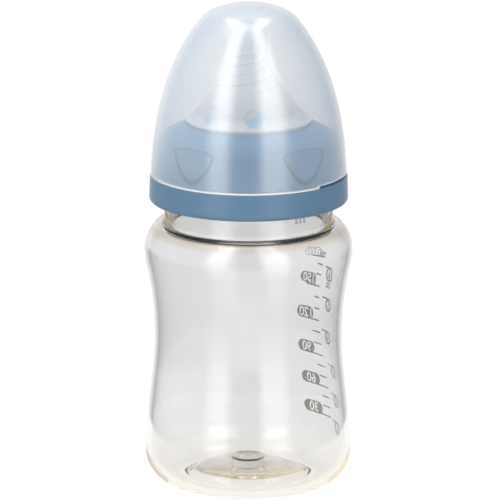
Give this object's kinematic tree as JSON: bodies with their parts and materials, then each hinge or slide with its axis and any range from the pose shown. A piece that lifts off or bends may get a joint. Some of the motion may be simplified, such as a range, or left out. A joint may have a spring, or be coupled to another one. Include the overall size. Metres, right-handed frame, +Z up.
{
  "type": "baby bottle",
  "caption": "Waisted wide-neck baby bottle with a silicone teat held by a screw ring and covered by a lift-off frosted hood",
  "frame": {"origin": "middle of the foot, on the table plane", "axes": "+Z up along the axis of every piece, -Y towards a viewer at the front, +X to that viewer's right"},
  "size_m": [0.0672, 0.0672, 0.1578],
  "materials": {
    "clear_body": "clear, slightly amber",
    "soft_silicone": "milky, satin",
    "ring_plastic": "satin gloss",
    "frosted_plastic": "frosted, see-through"
  },
  "bodies": {
    "bottle": {"bottle": "clear_body"},
    "teat": {"teat": "soft_silicone"},
    "ring": {"screw_ring": "ring_plastic"},
    "hood": {"hood": "frosted_plastic"}
  },
  "joints": [
    {"name": "ring_lift", "type": "slide", "parent": "bottle", "child": "teat", "axis": [0, 0, 1], "range_m": [0, 0.008]},
    {"name": "ring_turn", "type": "hinge", "parent": "teat", "child": "ring", "pos_m": [0, 0, 0.102], "axis": [0, 0, 1], "range_deg": [0, 720]},
    {"name": "hood_lift", "type": "slide", "parent": "ring", "child": "hood", "axis": [0, 0, 1], "range_m": [0, 0.06]}
  ],
  "couplings": [
    {"joint": "ring_lift", "follows": "ring_turn", "m_per_rad": 0.00063662}
  ]
}
